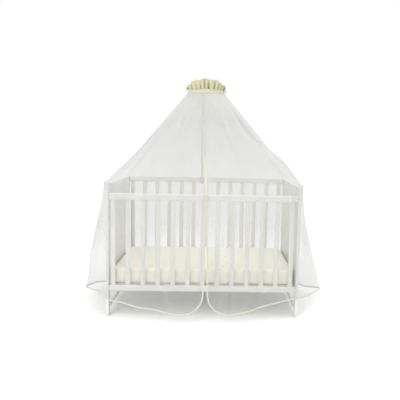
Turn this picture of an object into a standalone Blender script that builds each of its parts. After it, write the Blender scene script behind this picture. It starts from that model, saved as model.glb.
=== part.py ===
"""A mosquito net canopy: tulle gathered on a hoop, open down the front, draped over a crib.

Metres, +Z up. The origin is on the floor under the middle of the crib, the front faces -Y.
"""

import math

import bmesh
import bpy
import numpy as np

# Crib
CRIB_LENGTH = 1.244  # outside, along X
CRIB_DEPTH = 0.660  # outside, along Y
END_HEIGHT = 0.860  # end panels, posts and the fixed rear side
FRONT_RAIL_TOP = 0.800  # the drop side in front stands one notch lower
POST_X, POST_Y, POST_ROUND = 0.018, 0.045, 0.005
PANEL_THICKNESS = 0.016
PANEL_BOTTOM = 0.150
END_RAIL_Z, END_RAIL_HEIGHT = 0.040, 0.025
RAIL_THICKNESS, RAIL_INSET = 0.022, 0.001
TOP_RAIL_HEIGHT, LOW_RAIL_HEIGHT = 0.041, 0.036
SIDE_HEIGHT = 0.633  # top of the top rail to the bottom of the low rail
BAR_COUNT, BAR_PITCH, MIDDLE_BAR_X = 13, 0.0956, -0.005
BAR_WIDTH, BAR_THICKNESS = 0.031, 0.013
BOARD_TOP, BOARD_THICKNESS, BOARD_EDGE = 0.205, 0.012, 0.002
MATTRESS_LENGTH, MATTRESS_DEPTH, MATTRESS_HEIGHT = 1.180, 0.590, 0.102
MATTRESS_ROUND = 0.018
EDGE_ROUND = 0.005
GAP = 0.0003  # between pieces that touch

# Canopy holder
HOOP_RADIUS, HOOP_TUBE = 0.1175, 0.005
HOOP_X, HOOP_HEIGHT = -0.008, 1.488
HOOP_TILT = math.radians(5.0)  # its front hangs lower
POLE_X, POLE_RADIUS = -0.038, 0.0055
POLE_UPRIGHT = 0.020  # how far it stands straight above the rail
POLE_CURVE = 0.3  # how much of its lean is a slow bend, the rest being a straight slope
SOCKET_RADIUS, SOCKET_HEIGHT, SOCKET_FLOOR = 0.0095, 0.050, 0.008
CLAMP_WALL, CLAMP_OUTER_WALL = 0.0035, 0.0024
CLAMP_HALF_WIDTH, CLAMP_OUTER_DROP = 0.013, 0.020

# Cloth
NET_THICKNESS = 0.0018
TAPE_WIDTH, TAPE_THICKNESS, TAPE_BELOW_CASING = 0.008, 0.0028, 0.003
TAPE_TURNED_IN = math.radians(78.0)  # in the roof, where the two edges of the slit meet
TAPE_TURNS_FROM, TAPE_FLAT_FROM = 0.45, 0.86  # heights, 0 at the hoop and 1 at the crib's top
CASING_HEIGHT, CASING_THICKNESS = 0.026, 0.002
CASING_TOP_RADIUS, CASING_LOW_RADIUS = 0.1250, 0.1260  # outside
FRILL_THICKNESS = 0.0018
FRILL_PLEATS, FRILL_STEPS = 24, 6
PLEAT_AT_ROOT, PLEAT_AT_LIP = 0.0055, 0.0120
LIP_WAVE, LIP_WAVE_COUNT, LIP_WAVE_PHASE = 0.004, 11, 2.0
PLEAT_SWAY, PLEAT_SWAY_COUNT = 0.8, 9  # how far the pleats wander sideways towards the lip
PLEAT_SHARE = 0.70  # of the full depth, before the slow waves below are added
CORNER_RADIUS = 0.108  # the net's rounded lower front corners
NET_STEP = 0.042  # between the net's upright lines, at the hem
LINES_BY_SLIT = (0.0, 0.008, 0.022, 0.042, 0.070)  # the closer lines, from the slit's edge
# Heights of the net's rows: 0 at the hoop, 1 at the crib's top edge, 2 at the hem.
NET_ROWS = (0.0, 0.05, 0.16, 0.32, 0.50, 0.68, 0.84, 0.95, 1.0, 1.04, 1.16, 1.36, 1.58, 1.80, 2.0)
ROOF_SAG = 0.012  # how far the roof hangs in halfway down, as a share of its reach
SHOULDER_CLEARANCE, SHOULDER_ROUND = 0.0062, 0.012
STEP_FROM_END, STEP_LENGTH = 0.035, 0.16  # where the net comes down to the lower front rail
OPENING_AT_HOOP = -0.016  # the slit's X there, from the hoop's middle
EDGE_TO_SLIT = 0.0038  # from the net's edge to the slit's middle, at the hoop

# The hem in plan and height, clockwise from the slit round the left end (negative X), with the
# distance along the crib's top edge, from its front middle, that each point hangs from.
HEM_COLUMNS = ("x", "y", "z", "shoulder")
HEM = [
    (0.000, -0.430, 0.071, -0.003),
    (-0.137, -0.430, 0.062, 0.125),
    (-0.328, -0.400, 0.084, 0.300),
    (-0.530, -0.368, 0.115, 0.500),
    (-0.604, -0.350, 0.128, 0.575),
    (-0.655, -0.328, 0.160, 0.628),
    (-0.700, -0.262, 0.150, 0.662),
    (-0.795, -0.090, 0.104, 0.800),
    (-0.843, -0.005, 0.082, 0.880),
    (-0.832, 0.075, 0.072, 0.950),
    (-0.762, 0.220, 0.040, 1.110),
    (-0.705, 0.355, 0.032, 1.270),
    (-0.655, 0.398, 0.030, 1.310),
    (-0.400, 0.412, 0.034, 1.560),
    (0.000, 0.418, 0.038, 1.916),
    (0.400, 0.412, 0.034, 2.270),
    (0.655, 0.394, 0.030, 2.520),
    (0.702, 0.350, 0.032, 2.560),
    (0.762, 0.140, 0.050, 2.780),
    (0.815, 0.070, 0.064, 2.870),
    (0.841, 0.000, 0.088, 2.950),
    (0.802, -0.085, 0.098, 3.040),
    (0.684, -0.265, 0.124, 3.180),
    (0.652, -0.330, 0.142, 3.206),
    (0.556, -0.360, 0.138, 3.280),
    (0.404, -0.388, 0.107, 3.430),
    (0.191, -0.430, 0.063, 3.635),
    (0.038, -0.432, 0.070, 3.816),
]

# Folds that stand out from the net (or sink in, below zero), by their distance along the hem
# from the slit's left edge, or from its right edge where that is below zero.
FOLD_COLUMNS = ("at", "half_width", "depth_at_hem", "depth_in_roof")
FOLDS = [
    (0.18, 0.10, 0.010, 0.004),
    (0.40, 0.11, 0.014, 0.008),
    (0.86, 0.12, 0.010, 0.002),
    (1.22, 0.10, 0.016, 0.008),
    (1.42, 0.09, 0.022, 0.006),
    (1.63, 0.10, 0.026, 0.010),
    (1.84, 0.09, 0.018, 0.008),
    (2.02, 0.09, 0.028, 0.012),
    (2.24, 0.11, 0.022, 0.010),
    (2.46, 0.10, 0.026, 0.012),
    (2.68, 0.10, 0.016, 0.008),
    (-1.10, 0.10, 0.012, 0.008),
    (-0.88, 0.10, 0.000, -0.004),
    (-0.68, 0.12, 0.000, -0.010),
    (-0.46, 0.09, 0.010, 0.008),
    (-0.27, 0.06, 0.012, 0.006),
    (-0.12, 0.020, 0.014, 0.000),
]
NARROW_FOLD = 0.05  # a fold below this half width gets upright lines of its own

# Broad swells of the net (or hollows, below zero), by their middle along the hem as above and
# their height: 0 at the hoop, 1 at the crib's top edge, 2 at the hem.
BULGE_COLUMNS = ("at", "half_width", "height", "reach", "depth")
BULGES = [
    (0.70, 0.34, 0.55, 0.52, -0.014),
    (0.76, 0.34, 1.50, 0.56, 0.036),
    (0.90, 0.26, 1.74, 0.34, 0.018),
    (-0.68, 0.30, 0.38, 0.34, -0.033),
    (-0.68, 0.30, 0.77, 0.23, 0.020),
    (-0.78, 0.30, 1.38, 0.45, 0.009),
]

# The frill's lip round the hoop: degrees from the front towards the right end, how far it
# leans out past its root, how high it stands, how much it arches over, and its pleats' share
# of their full depth.
FRILL_COLUMNS = ("angle", "lean", "rise", "arch", "depth")
FRILL = [
    (0, 0.018, 0.066, 0.000, 1.00),
    (30, 0.019, 0.058, 0.001, 1.00),
    (50, 0.019, 0.036, 0.008, 0.90),
    (70, 0.015, 0.004, 0.014, 0.60),
    (90, 0.011, -0.022, 0.014, 0.25),
    (110, 0.014, 0.006, 0.014, 0.60),
    (130, 0.018, 0.044, 0.008, 0.90),
    (155, 0.018, 0.069, 0.002, 1.00),
    (180, 0.018, 0.077, 0.000, 1.00),
    (205, 0.018, 0.069, 0.002, 1.00),
    (230, 0.018, 0.044, 0.008, 0.90),
    (250, 0.016, 0.009, 0.015, 0.60),
    (270, 0.0135, -0.014, 0.015, 0.30),
    (290, 0.016, 0.005, 0.015, 0.60),
    (310, 0.019, 0.034, 0.008, 0.90),
    (330, 0.019, 0.057, 0.001, 1.00),
    (360, 0.018, 0.066, 0.000, 1.00),
]

# Slow waves round the hoop that make the pleats uneven in depth and in width.
WAVE_COLUMNS = ("size", "count", "phase")
PLEAT_DEPTH_WAVES = [(0.22, 5, 1.0), (0.12, 11, 0.4)]
PLEAT_WIDTH_WAVES = [(0.9, 3, 0.0), (0.7, 7, 1.0)]

WHITE_PAINT = ("white paint", (0.90, 0.90, 0.88), 0.35, 0.0)
GREY_METAL = ("painted steel", (0.62, 0.63, 0.63), 0.35, 0.6)
TULLE = ("tulle", (0.88, 0.89, 0.87), 0.80, 0.0)
CREAM_COTTON = ("cream cotton", (0.88, 0.84, 0.62), 0.85, 0.0)
CREAM_TAPE = ("cream tape", (0.90, 0.88, 0.72), 0.75, 0.0)
CREAM_COVER = ("mattress cover", (0.88, 0.86, 0.74), 0.85, 0.0)


def clear_scene():
    for obj in list(bpy.data.objects):
        bpy.data.objects.remove(obj, do_unlink=True)


def material(name, colour, roughness, metallic):
    found = bpy.data.materials.get(name)
    if found:
        return found
    made = bpy.data.materials.new(name)
    made.use_nodes = True
    shader = made.node_tree.nodes["Principled BSDF"]
    shader.inputs["Base Color"].default_value = (*colour, 1.0)
    shader.inputs["Roughness"].default_value = roughness
    shader.inputs["Metallic"].default_value = metallic
    return made


def object_from(name, points, faces, look, smooth=False):
    """A named object with one material, from points and faces in world coordinates."""
    mesh = bpy.data.meshes.new(name)
    mesh.from_pydata([tuple(map(float, p)) for p in points], [], faces)
    mesh.materials.append(material(*look))
    if smooth:
        mesh.shade_smooth()
        mesh.set_sharp_from_angle(angle=math.radians(50))
    made = bpy.data.objects.new(name, mesh)
    bpy.context.collection.objects.link(made)
    return made


def box(name, low, high, look, edge=EDGE_ROUND, steps=1):
    """A box between two corners, its edges eased by a bevel."""
    size = [h - l for l, h in zip(low, high)]
    middle = [(l + h) / 2 for l, h in zip(low, high)]
    mesh = bpy.data.meshes.new(name)
    shape = bmesh.new()
    bmesh.ops.create_cube(shape, size=1.0)
    bmesh.ops.scale(shape, vec=size, verts=shape.verts)
    shape.to_mesh(mesh)
    shape.free()
    mesh.materials.append(material(*look))
    made = bpy.data.objects.new(name, mesh)
    made.location = middle
    bpy.context.collection.objects.link(made)
    if edge:
        bevel = made.modifiers.new("eased edges", "BEVEL")
        bevel.width = edge
        bevel.segments = steps
    return made


# ---------------------------------------------------------------- crib


def end_frame(side, name):
    """One end of the crib: two posts, a solid panel level with them, a low rail."""
    outer = side * CRIB_LENGTH / 2
    inner = outer - side * POST_X
    middle = (outer + inner) / 2
    half_panel = PANEL_THICKNESS / 2
    between = CRIB_DEPTH / 2 - POST_Y - GAP
    for face, where in ((-1, "front"), (1, "rear")):
        y_out, y_in = face * CRIB_DEPTH / 2, face * (CRIB_DEPTH / 2 - POST_Y)
        box(
            f"post_{where}_{name}",
            (min(outer, inner), min(y_out, y_in), 0.0),
            (max(outer, inner), max(y_out, y_in), END_HEIGHT),
            WHITE_PAINT,
            edge=POST_ROUND,
            steps=2,
        )
    box(
        f"end_panel_{name}",
        (middle - half_panel, -between, PANEL_BOTTOM),
        (middle + half_panel, between, END_HEIGHT - RAIL_INSET),
        WHITE_PAINT,
    )
    box(
        f"end_rail_{name}",
        (middle - half_panel, -between, END_RAIL_Z),
        (middle + half_panel, between, END_RAIL_Z + END_RAIL_HEIGHT),
        WHITE_PAINT,
        edge=EDGE_ROUND,
    )


def bar_outline(steps=3):
    """A flat bar's section: its two narrow sides are half round."""
    radius = BAR_THICKNESS / 2
    reach = BAR_WIDTH / 2 - radius
    outline = []
    for side, start in ((1, -90), (-1, 90)):
        for i in range(steps + 1):
            turn = math.radians(start + 180 * i / steps)
            outline.append((side * reach + radius * math.cos(turn), radius * math.sin(turn)))
    return outline


def bar(name, x, y, low, high):
    outline = bar_outline()
    count = len(outline)
    points = [(x + px, y + py, z) for z in (low, high) for px, py in outline]
    faces = [list(range(count))[::-1], list(range(count, 2 * count))]
    faces += [(i, (i + 1) % count, count + (i + 1) % count, count + i) for i in range(count)]
    object_from(name, points, faces, WHITE_PAINT, smooth=True)


def side(face, name, top):
    """A long side: top rail, low rail and thirteen upright bars between them."""
    y_outer = face * (CRIB_DEPTH / 2 - RAIL_INSET)
    y_inner = y_outer - face * RAIL_THICKNESS
    reach = CRIB_LENGTH / 2 - POST_X - GAP
    low_bottom = top - SIDE_HEIGHT
    low_top = low_bottom + LOW_RAIL_HEIGHT
    y_low, y_high = min(y_outer, y_inner), max(y_outer, y_inner)
    box(
        f"top_rail_{name}",
        (-reach, y_low, top - TOP_RAIL_HEIGHT),
        (reach, y_high, top),
        WHITE_PAINT,
        steps=2,
    )
    box(
        f"low_rail_{name}", (-reach, y_low, low_bottom), (reach, y_high, low_top), WHITE_PAINT
    )
    for i in range(BAR_COUNT):
        bar(
            f"bar_{name}_{i + 1:02d}",
            MIDDLE_BAR_X + (i - (BAR_COUNT - 1) / 2) * BAR_PITCH,
            (y_outer + y_inner) / 2,
            low_top + GAP,
            top - TOP_RAIL_HEIGHT - GAP,
        )


def base_and_mattress():
    half_length = CRIB_LENGTH / 2 - POST_X / 2 - PANEL_THICKNESS / 2 - GAP
    half_depth = CRIB_DEPTH / 2 - POST_Y - GAP
    box(
        "base_board",
        (-half_length, -half_depth, BOARD_TOP - BOARD_THICKNESS),
        (half_length, half_depth, BOARD_TOP),
        WHITE_PAINT,
        edge=BOARD_EDGE,
    )
    bottom = BOARD_TOP + GAP
    box(
        "mattress",
        (-MATTRESS_LENGTH / 2, -MATTRESS_DEPTH / 2, bottom),
        (MATTRESS_LENGTH / 2, MATTRESS_DEPTH / 2, bottom + MATTRESS_HEIGHT),
        CREAM_COVER,
        edge=MATTRESS_ROUND,
        steps=2,
    )


# ---------------------------------------------------------------- canopy holder


def on_hoop(angle, radius, height=0.0):
    """A point in the tilted hoop's frame: angle from +X, height above the hoop's plane."""
    y = radius * math.sin(angle)
    return (
        HOOP_X + radius * math.cos(angle),
        y * math.cos(HOOP_TILT) - height * math.sin(HOOP_TILT),
        HOOP_HEIGHT + y * math.sin(HOOP_TILT) + height * math.cos(HOOP_TILT),
    )


def ring_solid(name, section, count, look):
    """A closed ring from a function that gives each angle's section, as points on_hoop."""
    rows = [section(2 * math.pi * i / count) for i in range(count)]
    size = len(rows[0])
    points = [p for row in rows for p in row]
    faces = []
    for i in range(count):
        j = (i + 1) % count
        for k in range(size):
            m = (k + 1) % size
            faces.append((i * size + k, j * size + k, j * size + m, i * size + m))
    return object_from(name, points, faces, look, smooth=True)


def hoop():
    def section(angle):
        turns = [2 * math.pi * k / 8 for k in range(8)]
        return [
            on_hoop(angle, HOOP_RADIUS + HOOP_TUBE * math.cos(t), HOOP_TUBE * math.sin(t))
            for t in turns
        ]

    ring_solid("hoop", section, 48, GREY_METAL)


def pole_points():
    """The pole's middle line: upright in its socket, leaning forward, upright at the hoop."""
    rear_y = CRIB_DEPTH / 2 - RAIL_INSET - RAIL_THICKNESS - CLAMP_WALL - SOCKET_RADIUS
    hoop_y = math.sqrt(HOOP_RADIUS**2 - (POLE_X - HOOP_X) ** 2) - POLE_RADIUS
    foot = END_HEIGHT - SOCKET_HEIGHT + SOCKET_FLOOR + GAP
    bend = END_HEIGHT + POLE_UPRIGHT
    top = HOOP_HEIGHT + hoop_y * math.sin(HOOP_TILT) - HOOP_TUBE - GAP
    straight = top - CASING_HEIGHT
    points = [(POLE_X, rear_y, foot), (POLE_X, rear_y, (foot + bend) / 2)]
    count = 12
    for i in range(count + 1):
        t = i / count
        ease = POLE_CURVE * t * t * (3 - 2 * t) + (1 - POLE_CURVE) * t
        points.append((POLE_X, rear_y + (hoop_y - rear_y) * ease, bend + (straight - bend) * t))
    return points + [(POLE_X, hoop_y, top)]


def pole():
    curve = bpy.data.curves.new("pole", "CURVE")
    curve.dimensions = "3D"
    curve.bevel_depth = POLE_RADIUS
    curve.bevel_resolution = 3
    curve.use_fill_caps = True
    points = pole_points()
    spline = curve.splines.new("POLY")
    spline.points.add(len(points) - 1)
    for slot, (x, y, z) in zip(spline.points, points):
        slot.co = (x, y, z, 1.0)
    curve.materials.append(material(*GREY_METAL))
    made = bpy.data.objects.new("pole", curve)
    bpy.context.collection.objects.link(made)


def clamp():
    """A hook over the rear rail with a round socket that the pole stands in."""
    rail_out = CRIB_DEPTH / 2 - RAIL_INSET
    rail_in = rail_out - RAIL_THICKNESS
    under = END_HEIGHT + GAP
    top = under + CLAMP_WALL
    low_in, low_out = END_HEIGHT - SOCKET_HEIGHT, END_HEIGHT - CLAMP_OUTER_DROP
    y = (
        rail_in - GAP - CLAMP_WALL,
        rail_in - GAP,
        rail_out + GAP,
        rail_out + GAP + CLAMP_OUTER_WALL,
    )
    outline = [
        (y[0], low_in),
        (y[1], low_in),
        (y[1], under),
        (y[2], under),
        (y[2], low_out),
        (y[3], low_out),
        (y[3], top),
        (y[0], top),
    ]
    count = len(outline)
    sides = (-CLAMP_HALF_WIDTH, CLAMP_HALF_WIDTH)
    points = [(POLE_X + dx, py, pz) for dx in sides for py, pz in outline]
    faces = [list(range(count))[::-1], list(range(count, 2 * count))]
    faces += [(i, (i + 1) % count, count + (i + 1) % count, count + i) for i in range(count)]
    hook = object_from("clamp", points, faces, GREY_METAL)

    socket_y = pole_points()[0][1]
    bore_top = END_HEIGHT + POLE_UPRIGHT
    pieces = (
        ("socket", SOCKET_RADIUS, low_in, END_HEIGHT - CLAMP_WALL, "UNION"),
        ("bore", POLE_RADIUS + GAP * 2, low_in + SOCKET_FLOOR, bore_top, "DIFFERENCE"),
    )
    for name, radius, low, high, operation in pieces:
        tool = upright_cylinder(name, radius, socket_y, low, high)
        cut = hook.modifiers.new(name, "BOOLEAN")
        cut.operation = operation
        cut.object = tool


def upright_cylinder(name, radius, y, low, high, count=20):
    mesh = bpy.data.meshes.new(name)
    shape = bmesh.new()
    bmesh.ops.create_cone(
        shape, cap_ends=True, segments=count, radius1=radius, radius2=radius, depth=high - low
    )
    shape.to_mesh(mesh)
    shape.free()
    made = bpy.data.objects.new(name, mesh)
    made.location = (POLE_X, y, (low + high) / 2)
    made.hide_render = True
    made.display_type = "WIRE"
    bpy.context.collection.objects.link(made)
    return made


# ---------------------------------------------------------------- cloth


def smooth_through(at, values, where):
    """Values at where, on the smooth curve through the given ones (cubic, tangents by slope)."""
    at, values, where = map(np.asarray, (at, values, where))
    slope = np.gradient(values, at)
    i = np.clip(np.searchsorted(at, where, side="right") - 1, 0, len(at) - 2)
    span = at[i + 1] - at[i]
    t = (where - at[i]) / span
    return (
        values[i] * (2 * t**3 - 3 * t**2 + 1)
        + values[i + 1] * (3 * t**2 - 2 * t**3)
        + slope[i] * span * (t**3 - 2 * t**2 + t)
        + slope[i + 1] * span * (t**3 - t**2)
    )


def column(table, names, name):
    return np.array([row[names.index(name)] for row in table], float)


def shoulder_half_sizes():
    return (
        CRIB_LENGTH / 2 + SHOULDER_CLEARANCE,
        CRIB_DEPTH / 2 + SHOULDER_CLEARANCE,
    )


def shoulder_corners():
    """Where the rounded corners of the crib's top edge begin and end, as distances."""
    a, b = shoulder_half_sizes()
    arc = SHOULDER_ROUND * math.pi / 2
    straights = (a - SHOULDER_ROUND, 2 * (b - SHOULDER_ROUND), 2 * (a - SHOULDER_ROUND))
    first = straights[0]
    second = first + arc + straights[1]
    third = second + arc + straights[2]
    fourth = third + arc + straights[1]
    return [(start, start + arc) for start in (first, second, third, fourth)]


def shoulder_point(distance):
    """The net's place at the crib's top edge, clockwise from the front middle."""
    a, b = shoulder_half_sizes()
    centres = [(-1, -1), (-1, 1), (1, 1), (1, -1)]
    corners = shoulder_corners()
    x = y = None
    for k, ((start, end), (sx, sy)) in enumerate(zip(corners, centres)):
        if start <= distance <= end:
            turn = math.radians(270 - 90 * k) - (distance - start) / SHOULDER_ROUND
            x = sx * (a - SHOULDER_ROUND) + SHOULDER_ROUND * math.cos(turn)
            y = sy * (b - SHOULDER_ROUND) + SHOULDER_ROUND * math.sin(turn)
    if x is None:
        if distance < corners[0][0]:
            x, y = -distance, -b
        elif distance < corners[1][0]:
            x, y = -a, -(b - SHOULDER_ROUND) + distance - corners[0][1]
        elif distance < corners[2][0]:
            x, y = -(a - SHOULDER_ROUND) + distance - corners[1][1], b
        elif distance < corners[3][0]:
            x, y = a, (b - SHOULDER_ROUND) - (distance - corners[2][1])
        else:
            x, y = (a - SHOULDER_ROUND) - (distance - corners[3][1]), -b
    drop = END_HEIGHT - FRONT_RAIL_TOP
    from_corner = max(0.0, a - STEP_FROM_END - abs(x))
    share = min(1.0, from_corner / STEP_LENGTH)
    ease = share * share * (3 - 2 * share)
    z = END_HEIGHT + SHOULDER_CLEARANCE - (drop * ease if y < -b + 1e-6 else 0.0)
    return x, y, z


class NetLines:
    """The net's upright lines, spaced along the hem, with extra ones at the corners."""

    def __init__(self):
        x, y, z, shoulder = (column(HEM, HEM_COLUMNS, name) for name in HEM_COLUMNS)
        chords = np.hypot(np.diff(x), np.diff(y))
        along = np.concatenate([[0.0], np.cumsum(chords)])
        self.width = along[-1]
        inner = np.linspace(
            CORNER_RADIUS,
            self.width - CORNER_RADIUS,
            round((self.width - 2 * CORNER_RADIUS) / NET_STEP),
        )
        lines = [*LINES_BY_SLIT, *inner, *(self.width - d for d in LINES_BY_SLIT[::-1])]
        extra = []
        for start, end in shoulder_corners():
            wanted = (start, start + (end - start) / 2, end)
            extra += [float(np.interp(d, shoulder, along)) for d in wanted]
        for at, half_width in self.folds(narrow_only=True):
            extra += [at + half_width * step for step in (-1.0, -0.5, 0.0, 0.5, 1.0)]
        lines = [s for s in lines if min(abs(s - place) for place in extra) > NET_STEP * 0.3]
        lines += extra
        self.at = np.array(sorted(lines))
        self.hem = np.stack([smooth_through(along, v, self.at) for v in (x, y, z)], axis=-1)
        distance = np.interp(self.at, along, shoulder)
        self.shoulder = np.array([shoulder_point(d) for d in distance])
        self.top = np.array([self.top_point(s / self.width) for s in self.at])

    def folds(self, narrow_only=False):
        """Each fold's place along the hem and its half width."""
        found = [(at if at > 0 else self.width + at, half) for at, half, _, _ in FOLDS]
        return [(at, half) for at, half in found if not narrow_only or half < NARROW_FOLD]

    def top_point(self, share):
        """Where a line leaves the hoop, just under the casing."""
        slit = math.asin(OPENING_AT_HOOP / CASING_LOW_RADIUS)
        edge = EDGE_TO_SLIT / CASING_LOW_RADIUS
        angle = math.radians(270) + slit - edge - share * (2 * math.pi - 2 * edge)
        height = -CASING_HEIGHT / 2 - GAP * 2
        return on_hoop(angle, CASING_LOW_RADIUS - CASING_THICKNESS / 4, height)

    def shortened(self):
        """How much of each line the rounded front corners take off."""
        from_edge = np.minimum(self.at, self.width - self.at)
        inside = np.clip(CORNER_RADIUS - from_edge, 0.0, CORNER_RADIUS)
        return CORNER_RADIUS - np.sqrt(CORNER_RADIUS**2 - inside**2)


def net_surface():
    """The net's middle surface, as a grid of points (line, row), and its outward normals."""
    lines = NetLines()
    reach = np.linalg.norm(lines.hem - lines.shoulder, axis=1)
    kept = 1.0 - lines.shortened() / reach
    rows = []
    for t in NET_ROWS:
        if t <= 1.0:
            sag = ROOF_SAG * 4 * t * (1 - t)
            point = lines.top + (lines.shoulder - lines.top) * t
            point = point * [[1 - sag, 1 - sag, 1.0]]
        else:
            point = lines.shoulder + (lines.hem - lines.shoulder) * ((t - 1.0) * kept)[:, None]
        rows.append(point)
    base = np.stack(rows, axis=1)
    folded = base + grid_normals(base) * fold_depths(lines)[..., None]
    return lines, folded, grid_normals(folded)


def soft_hump(away):
    """1 in the middle, falling smoothly to 0 where away reaches 1."""
    return np.cos(np.clip(away, 0.0, 1.0) * math.pi / 2) ** 2


def fold_depths(lines):
    """How far the folds push each point of the net outward."""
    depth = np.zeros((len(lines.at), len(NET_ROWS)))
    t = np.array(NET_ROWS)
    in_roof = np.where(t < 1.0, np.sin(math.pi * np.clip(t, 0, 1)) ** 2, 0.0)
    in_skirt = np.clip(t - 1.0, 0.0, 1.0) ** 0.9
    for (at, half_width), (_, _, at_hem, roof) in zip(lines.folds(), FOLDS):
        shape = soft_hump(np.abs(lines.at - at) / half_width)
        depth += np.outer(shape, at_hem * in_skirt + roof * in_roof)
    for at, half_width, height, reach, deep in BULGES:
        across = np.abs(lines.at - (at if at > 0 else lines.width + at)) / half_width
        up = np.abs(t - height) / reach
        depth += deep * np.outer(soft_hump(across), soft_hump(up))
    return depth


def grid_normals(grid):
    """Unit normals of a grid of points, pointing away from the crib."""
    along = np.gradient(grid, axis=0)
    down = np.gradient(grid, axis=1)
    normal = np.cross(down, along)
    normal /= np.linalg.norm(normal, axis=2, keepdims=True)
    outward = grid - np.array([0.0, 0.0, 0.5])
    facing = np.sign(np.sum(normal * outward, axis=2, keepdims=True))
    return normal * facing


def outer_diagonal(grid, normals, i, j):
    """Which corners to join in a cell of the grid: the diagonal that lies further out."""
    apart = grid[i, j] + grid[i + 1, j + 1] - grid[i, j + 1] - grid[i + 1, j]
    if np.dot(apart, normals[i, j]) >= 0.0:
        return (0, 1, 2), (0, 2, 3)
    return (0, 1, 3), (1, 2, 3)


def sheet_from_grid(name, grid, normals, thickness, look):
    """A closed sheet of even thickness on a grid of points, rim and all.

    Both sides are split along the same diagonals, so that they stay apart in a steep fold.
    """
    lines, rows = grid.shape[:2]
    outer = (grid + normals * thickness / 2).reshape(-1, 3)
    inner = (grid - normals * thickness / 2).reshape(-1, 3)
    points = np.concatenate([outer, inner])
    shift = lines * rows

    def at(i, j):
        return i * rows + j

    faces = []
    for i in range(lines - 1):
        for j in range(rows - 1):
            corners = (at(i, j), at(i, j + 1), at(i + 1, j + 1), at(i + 1, j))
            for cut in outer_diagonal(grid, normals, i, j):
                triangle = [corners[k] for k in cut]
                faces.append(triangle)
                faces.append([shift + v for v in triangle[::-1]])
    rim = [at(i, 0) for i in range(lines)]
    rim += [at(lines - 1, j) for j in range(1, rows)]
    rim += [at(i, rows - 1) for i in range(lines - 2, -1, -1)]
    rim += [at(0, j) for j in range(rows - 2, 0, -1)]
    for a, b in zip(rim, rim[1:] + rim[:1]):
        faces.append((b, shift + b, shift + a, a))
    made = object_from(name, points, faces, look, smooth=True)
    turn_faces_out(made)
    return made


def turn_faces_out(obj):
    shape = bmesh.new()
    shape.from_mesh(obj.data)
    bmesh.ops.recalc_face_normals(shape, faces=shape.faces)
    if shape.calc_volume(signed=True) < 0:
        bmesh.ops.reverse_faces(shape, faces=shape.faces)
    shape.to_mesh(obj.data)
    shape.free()


def net_and_binding():
    """The net, and the tape that runs down one side of the slit, round the hem and up again."""
    _, grid, normals = net_surface()
    sheet_from_grid("net", grid, normals, NET_THICKNESS, TULLE)

    edge = [(0, j) for j in range(len(NET_ROWS) - 1)]
    edge += [(i, len(NET_ROWS) - 1) for i in range(grid.shape[0])]
    edge += [(grid.shape[0] - 1, j) for j in range(len(NET_ROWS) - 2, -1, -1)]
    path = np.array([grid[i, j] for i, j in edge])
    out = np.array([normals[i, j] for i, j in edge])
    for end, next_to_it in ((0, 1), (-1, -2)):
        down = path[next_to_it] - path[end]
        path[end] += down / np.linalg.norm(down) * TAPE_BELOW_CASING
    along = np.gradient(path, axis=0)
    along /= np.linalg.norm(along, axis=1, keepdims=True)
    away = np.cross(along, out)
    away /= np.linalg.norm(away, axis=1, keepdims=True)
    if away[len(away) // 2, 2] > 0:
        away = -away
    heights = np.array([NET_ROWS[j] for _, j in edge])
    share = np.clip((TAPE_FLAT_FROM - heights) / (TAPE_FLAT_FROM - TAPE_TURNS_FROM), 0.0, 1.0)
    turn = (TAPE_TURNED_IN * share * share * (3 - 2 * share))[:, None]
    beside = path + away * (TAPE_THICKNESS / 2 + GAP) * np.sin(turn)
    across = away * np.cos(turn) - out * np.sin(turn)
    face = out * np.cos(turn) + away * np.sin(turn)
    near = beside + across * GAP * 1.5
    far = beside + across * (TAPE_WIDTH + GAP)
    tape = np.stack([near, far], axis=1)
    faces = np.stack([face, face], axis=1)
    sheet_from_grid("edge_binding", tape, faces, TAPE_THICKNESS, CREAM_TAPE)


def casing():
    """The smooth band that holds the net's gathers on the hoop."""
    half = CASING_HEIGHT / 2

    def section(angle):
        top_out, low_out = CASING_TOP_RADIUS, CASING_LOW_RADIUS
        return [
            on_hoop(angle, low_out - CASING_THICKNESS, -half),
            on_hoop(angle, low_out, -half),
            on_hoop(angle, top_out, half),
            on_hoop(angle, top_out - CASING_THICKNESS, half),
        ]

    turn_faces_out(ring_solid("casing_band", section, 72, CREAM_COTTON))


def slow_waves(table, angle):
    return sum(size * math.sin(count * angle + phase) for size, count, phase in table)


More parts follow.
